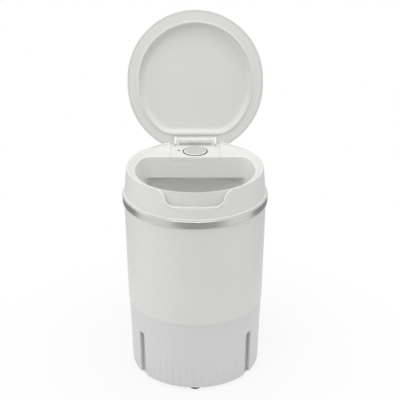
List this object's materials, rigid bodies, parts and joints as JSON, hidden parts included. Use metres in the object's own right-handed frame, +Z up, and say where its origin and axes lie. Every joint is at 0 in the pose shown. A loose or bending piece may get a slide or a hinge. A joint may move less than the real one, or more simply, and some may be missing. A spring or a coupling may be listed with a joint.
{
  "type": "mini washing machine",
  "caption": "Small round top-loading washing machine with a hinged lid standing open, a push button on a rear deck, a finger recess in front and a geared pulsator in the tub.",
  "frame": {"origin": "on the floor under the feet, on the axis of the tub", "axes": "+Z up along the tub's axis, -Y towards the front with the finger recess, +X to the right seen from the front"},
  "size_m": [0.23, 0.294, 0.5559],
  "materials": {
    "shell_white": "satin",
    "base_white": "satin",
    "collar_white": "satin",
    "lid_white": "satin",
    "liner_white": "satin",
    "panel_white": "satin",
    "button_white": "gloss",
    "bezel_grey": "satin",
    "lens_grey": "frosted",
    "tub_white": "gloss",
    "pulsator_white": "gloss",
    "hinge_white": "satin",
    "trim_silver": "satin plated",
    "foot_rubber": "matt",
    "seal_rubber": "matt",
    "plate_grey": "matt",
    "guard_grey": "matt",
    "steel": "plain",
    "bearing_steel": "ground",
    "sheet_steel": "zinc plated",
    "motor_grey": "satin",
    "gear_nylon": "natural",
    "pinion_brass": "machined",
    "board_green": "satin",
    "switch_black": "matt",
    "socket_black": "satin",
    "cable_black": "satin"
  },
  "bodies": {
    "cabinet": {"base_housing": "base_white", "vent_guard": "guard_grey", "base_plate": "plate_grey", "base_screws": "steel", "feet": "foot_rubber", "power_inlet": "socket_black", "inlet_nut": "steel", "driver_board": "board_green", "outer_shell": "shell_white", "trim_ring": "trim_silver", "wash_tub": "tub_white", "splash_seal": "seal_rubber", "collar": "collar_white", "hinge_bracket": "hinge_white", "bracket_screws": "steel", "hinge_pin": "steel", "control_panel": "panel_white", "button_bezel": "bezel_grey", "indicator_lens": "lens_grey", "control_board": "board_green", "tact_switch": "switch_black", "board_screws": "steel", "wire_harness": "cable_black", "motor_leads": "cable_black", "upper_bearing": "bearing_steel", "lower_bearing": "bearing_steel", "shaft_seal": "seal_rubber", "motor": "motor_grey", "motor_screws": "steel", "drive_plate": "sheet_steel", "plate_screws": "steel"},
    "lid": {"lid_cover": "lid_white", "lid_liner": "liner_white", "lid_hinge": "hinge_white", "lid_hinge_screws": "steel"},
    "button": {"power_button": "button_white"},
    "agitator": {"pulsator": "pulsator_white", "pulsator_screw": "steel", "pulsator_cap": "pulsator_white", "drive_shaft": "steel", "drive_gear": "gear_nylon", "gear_clip": "steel"},
    "rotor": {"motor_shaft": "steel", "motor_pinion": "pinion_brass"}
  },
  "joints": [
    {"name": "lid_hinge", "type": "hinge", "parent": "cabinet", "child": "lid", "pos_m": [0, 0.103, 0.3518], "axis": [1, 0, 0], "range_deg": [0, 107]},
    {"name": "button_press", "type": "slide", "parent": "cabinet", "child": "button", "axis": [0, 0, -1], "range_m": [0, 0.0012], "stiffness_N_per_m": 800, "springref_m": -0.002},
    {"name": "agitator_spin", "type": "hinge", "parent": "cabinet", "child": "agitator", "pos_m": [0, 0, 0.1435], "axis": [0, 0, 1], "continuous": true},
    {"name": "rotor_spin", "type": "hinge", "parent": "cabinet", "child": "rotor", "pos_m": [-0.042, 0, 0.0905], "axis": [0, 0, 1], "continuous": true}
  ],
  "couplings": [
    {"joint": "rotor_spin", "follows": "agitator_spin", "ratio": -3}
  ]
}
